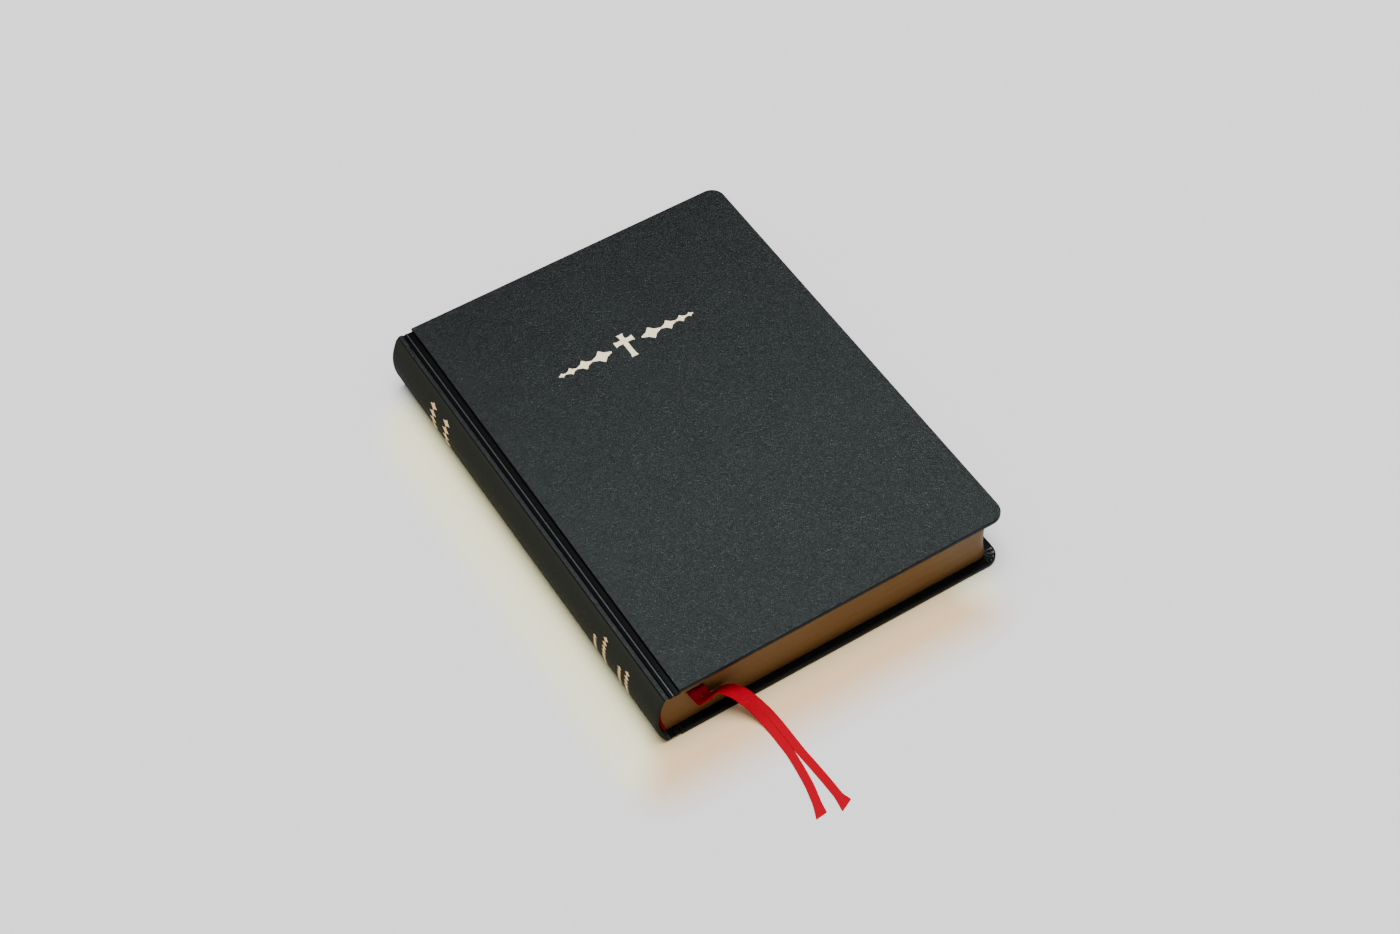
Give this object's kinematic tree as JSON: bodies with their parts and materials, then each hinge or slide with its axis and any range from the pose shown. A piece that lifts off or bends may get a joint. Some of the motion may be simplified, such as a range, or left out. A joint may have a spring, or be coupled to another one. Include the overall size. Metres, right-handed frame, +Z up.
{
  "type": "bible",
  "caption": "Casebound bible with rounded spine, leather-grain cover, gilt page edges, gold cross ornament and two red ribbon markers.",
  "frame": {"origin": "centre of the closed book's underside, on the surface it lies on; the ribbons' free tails aren't counted", "axes": "+Z up out of the front cover, +Y from tail to head along the spine, +X from the spine to the fore edge"},
  "size_m": [0.1553, 0.2617, 0.03],
  "materials": {
    "leather_cloth": "satin pebble grain",
    "greyboard": "dense grey board",
    "endpaper": "matt black sheet",
    "gilt_leaves": "thin leaves with gilt edges",
    "red_ribbon": "ribbed satin weave",
    "linen_thread": "waxed linen",
    "woven_band": "woven over a core",
    "spine_card": "flexible card",
    "kraft_paper": "kraft",
    "gauze": "open weave",
    "gold_foil": "hot-stamped foil"
  },
  "bodies": {
    "back_cover": {"back_board": "greyboard", "back_cover_cloth": "leather_cloth", "back_pastedown": "endpaper", "back_flyleaf": "endpaper", "section_08": "gilt_leaves", "section_09": "gilt_leaves", "section_10": "gilt_leaves", "section_11": "gilt_leaves", "section_12": "gilt_leaves", "section_13": "gilt_leaves", "section_14": "gilt_leaves", "section_15": "gilt_leaves", "section_16": "gilt_leaves", "section_17": "gilt_leaves", "section_18": "gilt_leaves", "section_19": "gilt_leaves", "section_20": "gilt_leaves", "section_21": "gilt_leaves", "section_22": "gilt_leaves", "section_23": "gilt_leaves", "section_24": "gilt_leaves", "ribbon_left": "red_ribbon", "ribbon_left_tail": "red_ribbon", "ribbon_right": "red_ribbon", "ribbon_right_tail": "red_ribbon"},
    "spine": {"spine_cloth": "leather_cloth", "spine_inlay": "spine_card", "spine_lining": "kraft_paper", "spine_gauze": "gauze", "sewing_thread_1": "linen_thread", "sewing_thread_2": "linen_thread", "sewing_thread_3": "linen_thread", "sewing_thread_4": "linen_thread", "sewing_thread_5": "linen_thread", "head_band": "woven_band", "tail_band": "woven_band", "spine_rule_1": "gold_foil", "spine_rule_2": "gold_foil", "spine_rule_3": "gold_foil", "spine_rule_4": "gold_foil", "spine_rule_5": "gold_foil", "spine_rule_6": "gold_foil"},
    "front_cover": {"front_board": "greyboard", "front_cover_cloth": "leather_cloth", "front_pastedown": "endpaper", "front_flyleaf": "endpaper", "section_01": "gilt_leaves", "section_02": "gilt_leaves", "section_03": "gilt_leaves", "section_04": "gilt_leaves", "section_05": "gilt_leaves", "section_06": "gilt_leaves", "section_07": "gilt_leaves", "cover_cross": "gold_foil", "cover_rule_left": "gold_foil", "cover_rule_right": "gold_foil"}
  },
  "joints": [
    {"name": "back_joint", "type": "hinge", "parent": "back_cover", "child": "spine", "pos_m": [-0.07375, 0, 0.002], "axis": [0, -1, 0], "range_deg": [0, 80]},
    {"name": "front_joint", "type": "hinge", "parent": "spine", "child": "front_cover", "pos_m": [-0.07375, 0, 0.0279], "axis": [0, -1, 0], "range_deg": [0, 101.5]}
  ]
}
